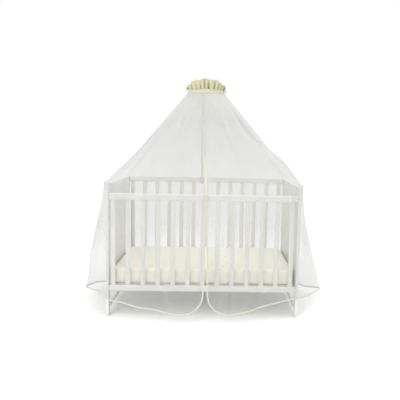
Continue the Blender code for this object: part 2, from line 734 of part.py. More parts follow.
def frill():
    """The gathered collar above the casing, flared in pleats and drooping at its sides."""
    angles = column(FRILL, FRILL_COLUMNS, "angle")
    shape = {name: column(FRILL, FRILL_COLUMNS, name) for name in FRILL_COLUMNS[1:]}
    root_radius = CASING_TOP_RADIUS - CASING_THICKNESS / 2
    root_height = CASING_HEIGHT / 2 + GAP
    rows = (0.0, 0.22, 0.46, 0.72, 1.0)
    count = FRILL_PLEATS * FRILL_STEPS

    def middle(turn, t):
        """Radius and height of the collar's middle line at a share t of its length."""
        lean, rise, arch, depth = (
            float(smooth_through(angles, shape[name], turn)) for name in FRILL_COLUMNS[1:]
        )
        bulge = 4 * t * (1 - t)
        round_it = math.radians(turn)
        uneven = PLEAT_SHARE + slow_waves(PLEAT_DEPTH_WAVES, round_it)
        phase = FRILL_PLEATS * round_it + slow_waves(PLEAT_WIDTH_WAVES, round_it)
        phase += PLEAT_SWAY * t * math.sin(round_it * PLEAT_SWAY_COUNT)
        deep = PLEAT_AT_ROOT + (PLEAT_AT_LIP - PLEAT_AT_ROOT) * t
        pleat = deep * depth * uneven * math.sin(phase)
        lip = LIP_WAVE * t * math.sin(round_it * LIP_WAVE_COUNT + LIP_WAVE_PHASE)
        radius = root_radius + lean * t + pleat
        return radius, root_height + rise * t + arch * bulge + lip

    def section(angle):
        turn = math.degrees(angle + math.pi / 2) % 360
        ring = [middle(turn, t) for t in rows]
        half = FRILL_THICKNESS / 2
        outer, inner = [], []
        for k, (radius, height) in enumerate(ring):
            before, after = ring[max(k - 1, 0)], ring[min(k + 1, len(ring) - 1)]
            dr, dh = after[0] - before[0], after[1] - before[1]
            length = math.hypot(dr, dh)
            if k == 0:
                dr, dh, length = 0.0, 1.0, 1.0
            outer.append(on_hoop(angle, radius + half * dh / length, height - half * dr / length))
            inner.append(on_hoop(angle, radius - half * dh / length, height + half * dr / length))
        return outer + inner[::-1]

    turn_faces_out(ring_solid("frill", section, count, CREAM_COTTON))


def main():
    clear_scene()
    for which, name in ((-1, "left"), (1, "right")):
        end_frame(which, name)
    side(-1, "front", FRONT_RAIL_TOP)
    side(1, "rear", END_HEIGHT)
    base_and_mattress()
    hoop()
    pole()
    clamp()
    net_and_binding()
    casing()
    frill()


main()
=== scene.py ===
"""The looks of a mosquito net canopy: tulle gathered on a hoop, open down the front, draped
over a crib. Metres, +Z up, the front faces -Y.
"""

import math
from types import SimpleNamespace

import bmesh
import bpy
import numpy as np
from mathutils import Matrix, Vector


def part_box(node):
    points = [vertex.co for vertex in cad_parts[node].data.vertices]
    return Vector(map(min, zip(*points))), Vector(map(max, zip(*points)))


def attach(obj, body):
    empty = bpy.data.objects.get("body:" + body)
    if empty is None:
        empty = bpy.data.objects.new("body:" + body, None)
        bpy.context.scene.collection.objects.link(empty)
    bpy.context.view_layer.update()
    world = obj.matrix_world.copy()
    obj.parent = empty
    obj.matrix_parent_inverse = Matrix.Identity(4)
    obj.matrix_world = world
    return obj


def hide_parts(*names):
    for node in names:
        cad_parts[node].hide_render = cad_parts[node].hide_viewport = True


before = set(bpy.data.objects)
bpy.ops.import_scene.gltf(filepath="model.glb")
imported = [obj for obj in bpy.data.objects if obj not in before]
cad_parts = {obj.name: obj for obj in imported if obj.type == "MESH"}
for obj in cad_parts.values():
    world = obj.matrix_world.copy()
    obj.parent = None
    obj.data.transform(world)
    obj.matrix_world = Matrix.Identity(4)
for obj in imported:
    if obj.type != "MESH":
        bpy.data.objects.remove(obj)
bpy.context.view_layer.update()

# ---------------------------------------------------------------- sizes shared with the solids

CRIB_LENGTH, CRIB_DEPTH = 1.244, 0.660
END_HEIGHT, FRONT_RAIL_TOP = 0.860, 0.800
HOOP_X, HOOP_HEIGHT, HOOP_TILT = -0.008, 1.488, math.radians(5.0)
TAPE_WIDTH, TAPE_THICKNESS, TAPE_BELOW_CASING, GAP = 0.008, 0.0028, 0.003, 0.0003
TAPE_TURNED_IN = math.radians(78.0)  # in the roof, where the two edges of the slit meet
TAPE_TURNS_FROM, TAPE_FLAT_FROM = 0.45, 0.86  # heights, 0 at the hoop and 1 at the crib's top
CASING_HEIGHT, CASING_THICKNESS = 0.026, 0.002
CASING_TOP_RADIUS, CASING_LOW_RADIUS = 0.1250, 0.1260  # outside
CORNER_RADIUS = 0.108  # the net's rounded lower front corners
ROOF_SAG = 0.012  # how far the roof hangs in halfway down, as a share of its reach
SHOULDER_CLEARANCE, SHOULDER_ROUND = 0.0062, 0.012
STEP_FROM_END, STEP_LENGTH = 0.035, 0.16  # where the net comes down to the lower front rail
OPENING_AT_HOOP = -0.016  # the slit's X there, from the hoop's middle
EDGE_TO_SLIT = 0.0038  # from the net's edge to the slit's middle, at the hoop

# The hem in plan and height, clockwise from the slit round the left end, with the distance
# along the crib's top edge, from its front middle, that each point hangs from.
HEM_COLUMNS = ("x", "y", "z", "shoulder")
HEM = [
    (0.000, -0.430, 0.071, -0.003),
    (-0.137, -0.430, 0.062, 0.125),
    (-0.328, -0.400, 0.084, 0.300),
    (-0.530, -0.368, 0.115, 0.500),
    (-0.604, -0.350, 0.128, 0.575),
    (-0.655, -0.328, 0.160, 0.628),
    (-0.700, -0.262, 0.150, 0.662),
    (-0.795, -0.090, 0.104, 0.800),
    (-0.843, -0.005, 0.082, 0.880),
    (-0.832, 0.075, 0.072, 0.950),
    (-0.762, 0.220, 0.040, 1.110),
    (-0.705, 0.355, 0.032, 1.270),
    (-0.655, 0.398, 0.030, 1.310),
    (-0.400, 0.412, 0.034, 1.560),
    (0.000, 0.418, 0.038, 1.916),
    (0.400, 0.412, 0.034, 2.270),
    (0.655, 0.394, 0.030, 2.520),
    (0.702, 0.350, 0.032, 2.560),
    (0.762, 0.140, 0.050, 2.780),
    (0.815, 0.070, 0.064, 2.870),
    (0.841, 0.000, 0.088, 2.950),
    (0.802, -0.085, 0.098, 3.040),
    (0.684, -0.265, 0.124, 3.180),
    (0.652, -0.330, 0.142, 3.206),
    (0.556, -0.360, 0.138, 3.280),
    (0.404, -0.388, 0.107, 3.430),
    (0.191, -0.430, 0.063, 3.635),
    (0.038, -0.432, 0.070, 3.816),
]

# The main folds, by their distance along the hem from the slit's left edge, or from its right
# edge where that is below zero.
FOLD_COLUMNS = ("at", "half_width", "depth_at_hem", "depth_in_roof")
FOLDS = [
    (0.18, 0.10, 0.010, 0.004),
    (0.40, 0.11, 0.014, 0.008),
    (0.86, 0.12, 0.010, 0.002),
    (1.22, 0.10, 0.016, 0.008),
    (1.42, 0.09, 0.022, 0.006),
    (1.63, 0.10, 0.026, 0.010),
    (1.84, 0.09, 0.018, 0.008),
    (2.02, 0.09, 0.028, 0.012),
    (2.24, 0.11, 0.022, 0.010),
    (2.46, 0.10, 0.026, 0.012),
    (2.68, 0.10, 0.016, 0.008),
    (-1.10, 0.10, 0.012, 0.008),
    (-0.88, 0.10, 0.000, -0.004),
    (-0.68, 0.12, 0.000, -0.010),
    (-0.46, 0.09, 0.010, 0.008),
    (-0.27, 0.06, 0.012, 0.006),
    (-0.12, 0.020, 0.014, 0.000),
]

# Broad swells of the net (or hollows, below zero), by their middle along the hem as above and
# their height: 0 at the hoop, 1 at the crib's top edge, 2 at the hem.
BULGE_COLUMNS = ("at", "half_width", "height", "reach", "depth")
BULGES = [
    (0.70, 0.34, 0.55, 0.52, -0.014),
    (0.76, 0.34, 1.50, 0.56, 0.036),
    (0.90, 0.26, 1.74, 0.34, 0.018),
    (-0.68, 0.30, 0.38, 0.34, -0.033),
    (-0.68, 0.30, 0.77, 0.23, 0.020),
    (-0.78, 0.30, 1.38, 0.45, 0.009),
]

# The frill's lip round the hoop: degrees from the front towards the right end, how far it
# leans out, how high it stands, how much it arches, and its pleats' share of their full depth.
FRILL_COLUMNS = ("angle", "lean", "rise", "arch", "depth")
FRILL = [
    (0, 0.018, 0.066, 0.000, 1.00),
    (30, 0.019, 0.058, 0.001, 1.00),
    (50, 0.019, 0.036, 0.008, 0.90),
    (70, 0.015, 0.006, 0.012, 0.55),
    (90, 0.013, -0.020, 0.010, 0.14),
    (110, 0.014, 0.008, 0.012, 0.55),
    (130, 0.018, 0.044, 0.008, 0.90),
    (155, 0.018, 0.069, 0.002, 1.00),
    (180, 0.018, 0.077, 0.000, 1.00),
    (205, 0.018, 0.069, 0.002, 1.00),
    (230, 0.018, 0.044, 0.008, 0.90),
    (250, 0.016, 0.010, 0.012, 0.55),
    (270, 0.0135, -0.014, 0.010, 0.16),
    (290, 0.016, 0.006, 0.012, 0.55),
    (310, 0.019, 0.034, 0.008, 0.90),
    (330, 0.019, 0.057, 0.001, 1.00),
    (360, 0.018, 0.066, 0.000, 1.00),
]
FRILL_PLEATS = 24
PLEAT_SHARE = 0.70  # of the full depth, before the slow waves below are added
PLEAT_SWAY, PLEAT_SWAY_COUNT = 0.8, 9  # how far the pleats wander sideways towards the lip

# Slow waves round the hoop that make the pleats uneven in depth and in width, and the lip's.
WAVE_COLUMNS = ("size", "count", "phase")
PLEAT_DEPTH_WAVES = [(0.22, 5, 1.0), (0.12, 11, 0.4)]
PLEAT_WIDTH_WAVES = [(0.9, 3, 0.0), (0.7, 7, 1.0)]
LIP_WAVES = [(0.004, 11, 2.0)]

# ---------------------------------------------------------------- sizes of the fine cloth

NET_LINES, ROOF_ROWS, SKIRT_ROWS = 600, 80, 66
NET_TOP_WIDTH = 4.2  # the cloth's width where it is gathered on the hoop
NET_LENGTH = 1.60  # from the hoop to the hem
TUCKED_IN = 0.003  # how far the band covers the net's top edge
THREAD_COVER = 0.27  # share of a single flat layer that its threads cover
SLOPE_COVER = 0.2  # how strongly the slope of a fine fold adds to its cover

# The smallest and largest of each, for waves that are uneven along the cloth.
WAVE_WIDTHS, WAVE_HEIGHTS = (0.55, 1.45), (0.25, 1.0)
GATHERS, GATHERS_SEED = 88, 3  # round the hoop, in the net's top and in the band alike

# Fine folds over the whole net: how many round it, how far they stand out, the heights (0 at
# the hoop, 1 at the crib's top edge, 2 at the hem) between which they grow and die away.
FINE_FOLD_COLUMNS = ("count", "depth", "grows_from", "full_at", "fades_from", "gone_at", "seed")
FINE_FOLDS = [
    (GATHERS, 0.0016, -1.0, -0.5, 0.02, 0.26, GATHERS_SEED),
    (37, 0.0030, 0.02, 0.20, 0.30, 0.90, 5),
    (23, 0.0035, 0.30, 0.60, 0.70, 1.05, 8),
    (52, 0.0030, 1.02, 1.80, 3.00, 4.00, 13),
    (19, 0.0080, 1.05, 2.00, 3.00, 4.00, 21),
]

# Creases placed one by one: each runs from one place on the net through a second to a third,
# given as the distance along the hem (from the right edge where below zero) and the height as
# above. It has a half width, stands out by its depth (or sinks in, below zero), and its doubled
# cloth adds to the cover. A wide row of no depth and with less cover is cloth drawn thin.
CREASE_COLUMNS = (
    "from_at",
    "from_height",
    "through_at",
    "through_height",
    "to_at",
    "to_height",
    "half_width",
    "depth",
    "cover",
)
CREASES = [
    (0.384, 0.90, 0.400, 0.96, 0.425, 1.05, 0.014, -0.005, 0.12),
    (0.610, 1.17, 0.568, 1.33, 0.491, 1.59, 0.013, 0.006, 0.15),
    (-0.096, 0.84, -0.114, 1.05, -0.170, 1.30, 0.018, 0.008, 0.16),
    (-0.170, 1.30, -0.192, 1.45, -0.200, 1.64, 0.014, 0.006, 0.12),
    (-0.100, 1.02, -0.088, 1.35, -0.080, 1.92, 0.026, 0.004, 0.20),
    (-0.082, 1.30, -0.075, 1.60, -0.072, 1.94, 0.004, 0.004, 0.35),
    (-0.104, 1.20, -0.097, 1.55, -0.093, 1.94, 0.005, 0.006, 0.45),
    (0.250, 1.55, 0.235, 1.75, 0.215, 1.94, 0.016, 0.006, 0.14),
    (-0.330, 1.60, -0.340, 1.78, -0.350, 1.95, 0.014, 0.006, 0.12),
    (1.545, 1.55, 1.550, 1.78, 1.560, 1.99, 0.014, 0.006, 0.35),
    (1.660, 1.60, 1.680, 1.80, 1.700, 1.99, 0.010, 0.005, 0.30),
    (1.830, 1.62, 1.825, 1.82, 1.820, 1.99, 0.016, 0.005, 0.20),
    (2.300, 1.55, 2.290, 1.78, 2.280, 1.99, 0.012, 0.006, 0.35),
    (2.120, 1.62, 2.125, 1.82, 2.130, 1.99, 0.016, 0.005, 0.20),
    (0.680, 1.02, 0.760, 1.22, 0.830, 1.50, 0.120, 0.000, -0.09),
    (0.980, 1.02, 1.000, 1.30, 1.040, 1.60, 0.120, 0.000, -0.09),
    (-0.640, 1.02, -0.680, 1.25, -0.740, 1.50, 0.120, 0.000, -0.11),
    (-0.950, 1.02, -1.000, 1.30, -1.060, 1.60, 0.120, 0.000, -0.11),
    (-0.760, 0.15, -0.720, 0.45, -0.660, 0.85, 0.150, 0.000, -0.08),
    (-1.260, 0.15, -1.220, 0.45, -1.150, 0.85, 0.140, 0.000, -0.07),
    (-0.474, 1.09, -0.510, 1.17, -0.512, 1.30, 0.011, 0.005, 0.16),
    (-0.480, 0.88, -0.560, 0.96, -0.640, 1.03, 0.016, 0.005, 0.18),
    (0.550, 0.94, 0.620, 0.985, 0.760, 1.01, 0.014, 0.004, 0.12),
    (0.900, 0.98, 1.150, 0.955, 1.290, 1.00, 0.020, -0.006, 0.10),
    (-1.020, 1.00, -0.900, 1.04, -0.760, 1.12, 0.018, 0.006, 0.12),
    (0.960, 1.10, 0.930, 1.40, 0.880, 1.85, 0.020, 0.008, 0.06),
    (1.150, 1.06, 1.130, 1.30, 1.160, 1.60, 0.018, -0.006, 0.04),
    (1.560, 0.93, 1.620, 1.12, 1.600, 1.45, 0.018, 0.008, 0.08),
    (2.100, 0.80, 2.140, 1.10, 2.230, 1.50, 0.022, 0.009, 0.08),
    (2.520, 0.90, 2.480, 1.10, 2.420, 1.35, 0.018, -0.007, 0.06),
    (2.820, 0.92, 2.780, 1.08, 2.790, 1.40, 0.018, 0.008, 0.08),
    (-1.180, 1.05, -1.140, 1.35, -1.050, 1.80, 0.020, 0.008, 0.06),
    (-0.620, 0.20, -0.560, 0.45, -0.500, 0.74, 0.040, 0.005, 0.02),
    (0.300, 0.12, 0.420, 0.40, 0.480, 0.70, 0.045, 0.005, 0.02),
    (-0.150, 0.15, -0.200, 0.45, -0.330, 0.80, 0.050, -0.006, -0.03),
]
CREASE_STEPS = 24
CREASE_ENDS, CREASE_TAPER = 0.03, 0.6  # how bluntly a crease ends, and how fast it dies away
CREASE_HIGHLIGHT_SHARE = 2.2  # how much a crease's added cover pales its cloth: a painted highlight along the crease

TAPE_FINE, TAPE_OVERLAP = 0.0016, 0.0015  # the sewn tape's thickness, its hold on the net

BAND_LINES, BAND_ROWS = 480, 9
BAND_SWELL, BAND_INSIDE = 0.0012, 0.6  # its round face, its inner face as a share of thickness
BAND_LIFT = 0.0024  # how far its lower edge rises between the net's gathers
PUCKER, PUCKER_BELOW = 0.0022, 0.3  # depth of the band's gathers, their share at its lower edge
BAND_VALLEY_SHADE = 0.60  # how far painted shade darkens their valleys
BAND_PALE_AND_LIT_BELOW = 0.7  # share of its height below which it pales: partly the net's gathers over it, partly painted light lifting the shade at its lower edge

FRILL_THICKNESS, FRILL_LENGTH = 0.0010, 0.066
FRILL_ROWS, FRILL_STEPS = 26, 20
PLEAT_AT_ROOT, PLEAT_AT_LIP = 0.0085, 0.0120
ROOT_TUCK, ROOT_OPENS_BY = 0.35, 0.16  # the pleats' share at the seam, where they are full
PLEAT_FLAT = 0.22  # how much the pleats' crests and valleys are broadened
PLEAT_SKEW, PLEAT_SKEW_PHASE = 0.16, 0.6  # how much they lean to one side
RIPPLE, LIP_RIPPLE, LIP_RIPPLE_PHASE = 0.0014, 0.0018, 1.1  # small waves on each pleat
VALLEY_SHADE_MEAN, VALLEY_SHADE_WAVES = 0.62, [(0.38, 13, 0.5)]  # the painted shade is deeper in some valleys than in others
VALLEY_SHADE_SHARE = 0.95  # how far a valley's bottom goes over to the painted shade tone
VALLEY_SHADE_FROM, VALLEY_SHADE_FULL = -0.5, 0.8  # how deep in a pleat the painted shade begins and is full
VALLEY_SHADE_LOST = 0.85  # share of the painted shade that is gone towards the lip

PAD_CUTS, PAD_CROWDING = 31, 1.6  # the mattress's grid, closer towards its edges
PAD_ROUND, PAD_CROWN, PAD_FILL = 0.022, 0.004, 0.9

# ---------------------------------------------------------------- camera and light

CAMERA_AT = (0.0733, -2.9623, 1.1362)
CAMERA_YAW, CAMERA_PITCH, CAMERA_ROLL = -1.90, -4.77, -1.30  # degrees
FOCAL_PIXELS, PICTURE = 416.6, 400
PRINCIPAL_POINT = (230.0, 177.25)
SENSOR = 36.0
FLOOR_RADIUS, FLOOR_FADES_FROM, FLOOR_SIDES = 3.4, 1.5, 96  # it melts into the white behind
LIGHT_COLUMNS = ("name", "place", "aim", "size", "power")
LIGHTS = [
    ("key", (-2.2, -3.6, 3.2), (0.0, 0.0, 0.6), (2.2, 2.2), 62.0),
    ("top", (0.6, -0.4, 4.2), (0.0, 0.0, 0.5), (3.0, 3.0), 90.0),
]

# ---------------------------------------------------------------- tones and fine patterns

PAINT_LIGHT, PAINT_DARK = (0.745, 0.745, 0.71), (0.705, 0.705, 0.67)
TULLE_LIGHT, TULLE_DARK = (0.59, 0.59, 0.583), (0.565, 0.565, 0.558)
TULLE_GATHERED = (0.645, 0.64, 0.617)
TULLE_CREASE_HIGHLIGHT = (0.86, 0.86, 0.845)  # painted highlight on the doubled cloth along a crease, seen as a pale streak
VALLEY_SHADE_TONE = (0.24, 0.22, 0.06)  # painted shade: the cream cotton's tone deep in the frill's valleys and between the band's gathers
NET_OVER_AND_PAINTED_LIGHT_TONE = (0.66, 0.64, 0.54)  # the band's lower edge: partly the net's gathers that cover it, partly painted light lifting the shade there
COTTON_LIGHT, COTTON_DARK = (0.66, 0.64, 0.48), (0.57, 0.545, 0.37)
COVER_LIGHT, COVER_DARK = (0.90, 0.885, 0.775), (0.86, 0.845, 0.72)
TAPE_LIGHT, TAPE_DARK = (0.61, 0.60, 0.52), (0.54, 0.525, 0.42)
METAL_PAINT, METAL_RUBBED = (0.66, 0.67, 0.67), (0.74, 0.75, 0.75)
PAPER_DARK, PAPER_LIGHT = (0.86, 0.86, 0.855), (0.88, 0.88, 0.875)

TULLE_PITCH, TULLE_UNEVEN = 0.0018, 0.45  # from one opening to the next, and how irregular
TULLE_LIT_THROUGH = 0.45  # share of the light that its threads pass on to the other side
COTTON_PITCH, COTTON_WRINKLE = 0.0005, 0.0014
COVER_PITCH, COVER_WRINKLE = 0.0008, 0.0010
TWILL_RIB = 0.0009
STITCH_PITCH, STITCH_FROM_SEAM = 0.0032, 0.0022  # along the tape, and in from the net's edge
STITCH_LENGTH = (0.30, 0.36)  # half a stitch as a share of its pitch, full and gone
STITCH_WIDTH = (0.0002, 0.0005)  # half its width, full and gone


# ---------------------------------------------------------------- curves and grids


def smooth_through(at, values, where):
    """Values at where, on the smooth curve through the given ones (cubic, tangents by slope)."""
    at, values, where = map(np.asarray, (at, values, where))
    slope = np.gradient(values, at)
    i = np.clip(np.searchsorted(at, where, side="right") - 1, 0, len(at) - 2)
    span = at[i + 1] - at[i]
    t = (where - at[i]) / span
    return (
        values[i] * (2 * t**3 - 3 * t**2 + 1)
        + values[i + 1] * (3 * t**2 - 2 * t**3)
        + slope[i] * span * (t**3 - 2 * t**2 + t)
        + slope[i + 1] * span * (t**3 - t**2)
    )


def column(table, names, name):
    return np.array([row[names.index(name)] for row in table], float)


def named_rows(table, names):
    """The table's rows, each with its columns by name."""
    return [SimpleNamespace(**dict(zip(names, row))) for row in table]


def slow_waves(table, angle):
    return sum(w.size * np.sin(w.count * angle + w.phase) for w in named_rows(table, WAVE_COLUMNS))


def ease(value, start, end):
    share = np.clip((np.asarray(value, float) - start) / (end - start), 0.0, 1.0)
    return share * share * (3 - 2 * share)


def on_hoop(angle, radius, height=0.0):
    """A point in the tilted hoop's frame: angle from +X, height above the hoop's plane."""
    angle, radius, height = np.broadcast_arrays(
        np.asarray(angle, float), np.asarray(radius, float), np.asarray(height, float)
    )
    y = radius * np.sin(angle)
    return np.stack(
        [
            HOOP_X + radius * np.cos(angle),
            y * math.cos(HOOP_TILT) - height * math.sin(HOOP_TILT),
            HOOP_HEIGHT + y * math.sin(HOOP_TILT) + height * math.cos(HOOP_TILT),
        ],
        axis=-1,
    )


def object_from(name, points, faces, cloth=None, attributes=()):
    """A smooth-shaded object. cloth holds each point's place on the flat cloth, in metres."""
    points = np.asarray(points, np.float32).reshape(-1, 3)
    mesh = bpy.data.meshes.new(name)
    mesh.from_pydata(points.tolist(), [], [list(map(int, f)) for f in faces])
    mesh.shade_smooth()
    if cloth is not None:
        flat = np.zeros((len(points), 3), np.float32)
        flat[:, :2] = np.asarray(cloth, np.float32).reshape(-1, 2)
        place = mesh.attributes.new("cloth", "FLOAT_VECTOR", "POINT")
        place.data.foreach_set("vector", flat.ravel())
    for key, values in dict(attributes).items():
        found = mesh.attributes.new(key, "FLOAT", "POINT")
        found.data.foreach_set("value", np.asarray(values, np.float32).ravel())
    made = bpy.data.objects.new(name, mesh)
    bpy.context.scene.collection.objects.link(made)
    return made


def grid_faces(lines, rows, wrap_lines=False, wrap_rows=False):
    i = np.arange(lines if wrap_lines else lines - 1)
    j = np.arange(rows if wrap_rows else rows - 1)
    i, j = np.meshgrid(i, j, indexing="ij")
    i2, j2 = (i + 1) % lines, (j + 1) % rows
    quads = np.stack([i * rows + j, i * rows + j2, i2 * rows + j2, i2 * rows + j], axis=-1)
    return quads.reshape(-1, 4)


def turn_faces_out(obj):
    shape = bmesh.new()
    shape.from_mesh(obj.data)
    bmesh.ops.recalc_face_normals(shape, faces=shape.faces)
    if shape.calc_volume(signed=True) < 0:
        bmesh.ops.reverse_faces(shape, faces=shape.faces)
    shape.to_mesh(obj.data)
    shape.free()


# ---------------------------------------------------------------- node materials


def node(tree, kind, inputs=None, **settings):
    """A shader node with its settings, and its inputs given as values or as other sockets."""
    made = tree.nodes.new("ShaderNode" + kind)
    for key, value in settings.items():
        setattr(made, key, value)
    for key, value in (inputs or {}).items():
        if isinstance(value, bpy.types.NodeSocket):
            tree.links.new(value, made.inputs[key])
        else:
            made.inputs[key].default_value = value
    return made


def material(name):
    """A new empty node material, and its output node."""
    made = bpy.data.materials.new(name)
    made.use_nodes = True
    made.node_tree.nodes.clear()
    return made, made.node_tree, made.node_tree.nodes.new("ShaderNodeOutputMaterial")


def maths(tree, operation, first, second=0.0, third=0.0):
    made = node(tree, "Math", {0: first, 1: second, 2: third}, operation=operation)
    return made.outputs[0]


def between(tree, value, low, high, to_low=0.0, to_high=1.0):
    """value mapped smoothly from low..high to to_low..to_high."""
    made = node(
        tree,
        "MapRange",
        {"Value": value, "From Min": low, "From Max": high, "To Min": to_low, "To Max": to_high},
        interpolation_type="SMOOTHSTEP",
    )
    return made.outputs["Result"]


def two_tones(tree, factor, first, second):
    made = node(tree, "Mix", {"Factor": factor}, data_type="RGBA")
    made.inputs[6].default_value = (*first, 1.0)
    made.inputs[7].default_value = (*second, 1.0)
    return made.outputs[2]


def towards(tree, factor, colour, other):
    """A colour socket mixed towards a fixed colour."""
    made = node(tree, "Mix", {"Factor": factor}, data_type="RGBA")
    tree.links.new(colour, made.inputs[6])
    made.inputs[7].default_value = (*other, 1.0)
    return made.outputs[2]


def noise(tree, place, scale, detail=3.0, roughness=0.5):
    made = node(
        tree,
        "TexNoise",
        {"Vector": place, "Scale": scale, "Detail": detail, "Roughness": roughness},
    )
    return made.outputs["Fac"]


def object_place(tree):
    return node(tree, "TexCoord").outputs["Object"]


def cloth_place(tree):
    """Each point's place on the flat cloth: across, down."""
    found = node(tree, "Attribute", attribute_name="cloth")
    return found.outputs["Vector"]


def stretched(tree, place, across, down):
    return node(
        tree, "VectorMath", {0: place, 1: (across, down, 1.0)}, operation="MULTIPLY"
    ).outputs["Vector"]


def weave(tree, place, pitch):
    """Height of a plain weave of that thread pitch: threads pass over and under in turn."""
    parts = node(tree, "SeparateXYZ", {0: place})
    turn = math.pi / pitch
    across = maths(tree, "SINE", maths(tree, "MULTIPLY", parts.outputs["X"], turn))
    down = maths(tree, "SINE", maths(tree, "MULTIPLY", parts.outputs["Y"], turn))
    crossing = maths(tree, "MULTIPLY", across, down)
    return maths(tree, "MULTIPLY_ADD", crossing, 0.5, 0.5)


def bump(tree, height, distance, strength=1.0, normal=None):
    inputs = {"Height": height, "Distance": distance, "Strength": strength}
    if normal is not None:
        inputs["Normal"] = normal
    return node(tree, "Bump", inputs).outputs["Normal"]


def white_paint():
    """Satin paint on wood: a slow drift of tone, faint brush drag and a soft gloss."""
    made, tree, out = material("white_paint")
    place = object_place(tree)
    drift = noise(tree, place, 5.0, 2.0)
    drag = noise(tree, stretched(tree, place, 90.0, 90.0), 1.0, 4.0, 0.6)
    colour = two_tones(tree, between(tree, drift, 0.3, 0.7), PAINT_LIGHT, PAINT_DARK)
    shader = node(
        tree,
        "BsdfPrincipled",
        {
            "Base Color": colour,
            "Roughness": between(tree, drag, 0.3, 0.7, 0.32, 0.46),
            "Normal": bump(tree, drag, 0.0002, 0.5),
            "Specular IOR Level": 0.45,
        },
    )
    tree.links.new(shader.outputs[0], out.inputs["Surface"])
    return made


def grey_metal():
    """Painted steel tube: fine orange peel and a few rubbed places."""
    made, tree, out = material("grey_metal")
    place = object_place(tree)
    rubbed = between(tree, noise(tree, place, 22.0, 4.0, 0.65), 0.52, 0.68)
    peel = noise(tree, place, 420.0, 2.0)
    shader = node(
        tree,
        "BsdfPrincipled",
        {
            "Base Color": two_tones(tree, rubbed, METAL_PAINT, METAL_RUBBED),
            "Metallic": 0.6,
            "Roughness": between(tree, rubbed, 0.0, 1.0, 0.34, 0.50),
            "Normal": bump(tree, peel, 0.0001, 0.6),
        },
    )
    tree.links.new(shader.outputs[0], out.inputs["Surface"])
    return made


def tulle():
    """A fine hexagonal net: thin threads that scatter light, and see-through between them, with a
    painted highlight along its creases.
    """
    made, tree, out = material("tulle")
    place = cloth_place(tree)
    cells = node(
        tree,
        "TexVoronoi",
        {"Vector": place, "Scale": 1 / TULLE_PITCH, "Randomness": TULLE_UNEVEN},
        voronoi_dimensions="2D",
        feature="DISTANCE_TO_EDGE",
    ).outputs["Distance"]
    thread = between(tree, cells, 0.05, 0.22, 1.0, 0.0)
    cloudy = noise(tree, stretched(tree, place, 9.0, 3.0), 1.0, 4.0, 0.6)
    dense = node(tree, "Attribute", attribute_name="cover").outputs["Fac"]
    cover = maths(tree, "MULTIPLY", dense, between(tree, thread, 0.0, 1.0, 0.72, 1.45))
    cover = maths(tree, "MULTIPLY", cover, between(tree, cloudy, 0.3, 0.7, 0.93, 1.07))
    cover = node(tree, "Clamp", {"Value": cover}).outputs[0]
    creased = noise(tree, stretched(tree, place, 55.0, 9.0), 1.0, 5.0, 0.6)
    normal = bump(tree, creased, 0.002, 0.3)
    single = two_tones(tree, between(tree, cloudy, 0.3, 0.7), TULLE_LIGHT, TULLE_DARK)
    colour = towards(tree, between(tree, dense, 0.45, 0.85), single, TULLE_GATHERED)
    # painted highlight: the net is paled along its creases
    pressed = node(tree, "Attribute", attribute_name="crease").outputs["Fac"]
    colour = towards(tree, pressed, colour, TULLE_CREASE_HIGHLIGHT)
    front = node(tree, "BsdfDiffuse", {"Color": colour, "Normal": normal})
    through = node(tree, "BsdfTranslucent", {"Color": colour, "Normal": normal})
    sides = {0: TULLE_LIT_THROUGH, 1: front.outputs[0], 2: through.outputs[0]}
    cloth = node(tree, "MixShader", sides)
    clear = node(tree, "BsdfTransparent")
    both = node(tree, "MixShader", {0: cover, 1: clear.outputs[0], 2: cloth.outputs[0]})
    tree.links.new(both.outputs[0], out.inputs["Surface"])
    return made


def cotton(name, light, dark, pitch, wrinkle, sheen=0.25):
    """Woven cotton: a plain weave, slubs and small wrinkles, with painted shade in its valleys
    and, at the band's lower edge, a paling that is partly painted light.
    """
    made, tree, out = material(name)
    place = cloth_place(tree)
    threads = weave(tree, place, pitch)
    slub = noise(tree, stretched(tree, place, 900.0, 120.0), 1.0, 3.0, 0.6)
    creased = noise(tree, stretched(tree, place, 60.0, 26.0), 1.0, 4.0, 0.55)
    drift = noise(tree, place, 14.0, 3.0)
    shade = maths(tree, "MULTIPLY", maths(tree, "ADD", threads, slub), 0.3)
    tone = maths(tree, "ADD", shade, maths(tree, "MULTIPLY", drift, 0.5))
    colour = two_tones(tree, between(tree, tone, 0.3, 0.8), dark, light)
    # painted shade in the valleys of the frill and between the band's gathers
    painted_valley_shade = node(tree, "Attribute", attribute_name="painted_valley_shade").outputs["Fac"]
    colour = towards(tree, painted_valley_shade, colour, VALLEY_SHADE_TONE)
    # the band's lower edge paled: partly the net's gathers over it, partly painted light
    pale_and_painted_light = node(tree, "Attribute", attribute_name="pale_and_painted_light").outputs["Fac"]
    colour = towards(tree, pale_and_painted_light, colour, NET_OVER_AND_PAINTED_LIGHT_TONE)
    folded = bump(tree, creased, wrinkle, 0.6)
    normal = bump(tree, threads, pitch * 0.35, 0.6, folded)
    shader = node(
        tree,
        "BsdfPrincipled",
        {
            "Base Color": colour,
            "Roughness": between(tree, slub, 0.2, 0.8, 0.78, 0.92),
            "Normal": normal,
            "Sheen Weight": sheen,
            "Sheen Roughness": 0.5,
            "Specular IOR Level": 0.25,
        },
    )
    tree.links.new(shader.outputs[0], out.inputs["Surface"])
    return made


